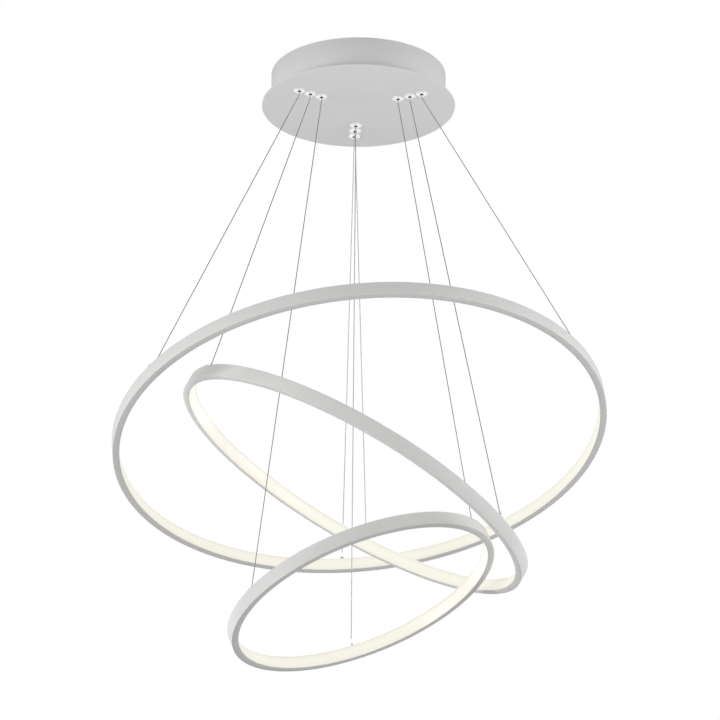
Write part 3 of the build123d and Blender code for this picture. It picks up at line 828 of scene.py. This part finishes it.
def light_strip(name, ring):
    """White lacquered circuit with its chips and cutting pads, laid out along the ring."""
    made, shader, place = new_finish(name)
    ahead, across, height = (ring_coordinate(place, ring, column) for column in range(3))
    travel = ahead.math("ARCTAN2", across, ahead) * (ring["radius"] - mouth_depth)
    off_middle = height.math("ABSOLUTE", height - channel_height / 2)
    cut_pitch = chip_pitch * chips_per_cut

    def marks(pitch, half_length, half_width, shift=0.0):
        """1 on the rectangles that repeat along the strip."""
        step = travel / pitch + shift
        gap = step.math("ABSOLUTE", step.math("FRACT", step) - 0.5) * pitch
        return gap.below(half_length, print_blur) * off_middle.below(half_width, print_blur)

    chips = marks(chip_pitch, chip_half, chip_half)
    resistors = marks(cut_pitch, resistor_half_length, resistor_half_width, resistor_shift)
    cut_marks = marks(cut_pitch, pad_half_length, pad_half_width, pad_shift)
    pads = cut_marks * (1 - off_middle.below(pad_gap_half, print_blur))
    weave = noise(place, scale=1800.0, detail=1.0)
    lacquer = weave.blend((0.84, 0.84, 0.81, 1.0), (0.90, 0.90, 0.87, 1.0))
    tone = pads.blend(lacquer, (0.72, 0.42, 0.22, 1.0))
    tone = resistors.blend(tone, (0.03, 0.03, 0.035, 1.0))
    feed(shader, "Base Color", chips.blend(tone, (0.86, 0.66, 0.13, 1.0)))
    feed(shader, "Roughness", 0.42 + weave * 0.1 - chips * 0.15)
    emboss(shader, chips, strength=0.5, depth=0.0002)
    return made


for name, ring in rings.items():
    finish_nodes(light_strip(f"light_strip_{name}", ring), f"led_strip_{name}")
    finish_nodes(fastener_zinc, f"joiner_{name}", f"anchor_screws_{name}")


# ---------------------------------------------------------------- wire anchors

# On top of each channel three small plates hold the wires: each is a nickel-plated plate with a
# socket, held by one screw, and the ball crimped on the wire's end turns freely in it.
nickel = plated("satin_nickel", (0.84, 0.835, 0.82), gloss=0.24, spread=0.12)
for name in rings:
    finish_nodes(nickel, f"anchors_{name}", f"ball_shanks_{name}")


# ---------------------------------------------------------------- wires

# Nine stranded steel wires in a clear jacket, 1.6 mm thick, come straight down out of their
# grips, bend just under the sleeves, and run taut to the balls on the rings.
# The short bent top stays with its grip.
wire_radius = 0.0008
bend_radius = 0.0065
bend_height = -0.0731
wire_top = -0.039
wire_sides = 12
strand_count = 6
strand_lay = 0.011
anchor_angles = {"left": 210.0, "right": 330.0, "far": 90.0}
anchor_inset = 0.0105
anchor_thick = 0.001
ball_lift = 0.0019
wire_seat = 0.0052


def ball_place(name, side):
    """The middle of the ball end on a ring."""
    ring = rings[name]
    angle = math.radians(anchor_angles[side] + ring["turn"])
    reach = ring["radius"] - anchor_inset
    height = channel_height + anchor_thick + ball_lift
    return ring_frame(ring) @ Vector((reach * math.cos(angle), reach * math.sin(angle), height))


def strand_pattern(bm, start, direction):
    """UV map of a wire: U goes round it, V along it in metres."""
    layer = bm.loops.layers.uv.new("strands")
    side_on = direction.orthogonal().normalized()
    across = direction.cross(side_on)
    for face in bm.faces:
        centre = face.calc_center_median() - start
        middle = math.atan2(centre.dot(across), centre.dot(side_on))
        for loop in face.loops:
            spot = loop.vert.co - start
            angle = math.atan2(spot.dot(across), spot.dot(side_on))
            angle = middle + (angle - middle + math.pi) % math.tau - math.pi
            loop[layer].uv = (angle / math.tau, spot.dot(direction))


wire_finish, wire_shader, place = new_finish(
    "jacketed_wire", Metallic=0.7, Coat_Weight=0.2, Coat_Roughness=0.12
)
wire_map = place.node("ShaderNodeUVMap", {"uv_map": "strands"}, {})
around = wire_map.axis(0)
along = wire_map.axis(1)
phase = around * (strand_count * math.tau) + along * (strand_count * math.tau / strand_lay)
strand = phase.math("SINE", phase) * 0.5 + 0.5
feed(wire_shader, "Base Color", strand.blend((0.26, 0.26, 0.26, 1.0), (0.36, 0.36, 0.36, 1.0)))
feed(wire_shader, "Roughness", 0.40 - strand * 0.08)
emboss(wire_shader, strand, strength=0.2, depth=0.00005)

for name in rings:
    for side in grip_angles:
        top = grip_place(name, side) + Vector((0.0, 0.0, wire_top))
        bend = grip_place(name, side) + Vector((0.0, 0.0, bend_height))
        ball = ball_place(name, side)
        down = Vector((0.0, 0.0, -1.0))
        away = (ball - bend).normalized()
        turn = down.angle(away)
        hinge = down.cross(away).normalized()
        setback = bend_radius * math.tan(turn / 2)
        pivot = bend - down * setback + hinge.cross(down) * bend_radius

        bm = bmesh.new()
        bmesh.ops.create_circle(bm, segments=wire_sides, radius=wire_radius)
        bmesh.ops.transform(bm, matrix=Matrix.Translation(top), verts=bm.verts)
        grown = bmesh.ops.extrude_edge_only(bm, edges=bm.edges)["geom"]
        fresh = [part for part in grown if isinstance(part, bmesh.types.BMVert)]
        bmesh.ops.translate(bm, verts=fresh, vec=bend - down * setback - top)
        rim = [edge for edge in grown if isinstance(edge, bmesh.types.BMEdge) and edge.is_boundary]
        bmesh.ops.spin(
            bm, geom=fresh + rim, cent=pivot, axis=hinge, dvec=(0.0, 0.0, 0.0), angle=turn, steps=6
        )
        bmesh.ops.holes_fill(bm, edges=bm.edges, sides=0)
        bmesh.ops.recalc_face_normals(bm, faces=bm.faces)
        strand_pattern(bm, top, down)
        stub = piece(f"wire_top_{name}_{side}", bm, wire_finish)
        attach(stub, "canopy")

        start = bend + away * setback
        end = ball - away * wire_seat
        bm = bmesh.new()
        bmesh.ops.create_cone(
            bm, cap_ends=True, segments=wire_sides, radius1=wire_radius, radius2=wire_radius,
            depth=(end - start).length,
        )
        upright = away.to_track_quat("Z", "Y").to_matrix().to_4x4()
        bmesh.ops.transform(bm, matrix=Matrix.Translation((start + end) / 2) @ upright, verts=bm.verts)
        strand_pattern(bm, start, away)
        run = piece(f"wire_run_{name}_{side}", bm, wire_finish, crease=60.0)
        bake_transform(run)
        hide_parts(f"wire_{name}_{side}")
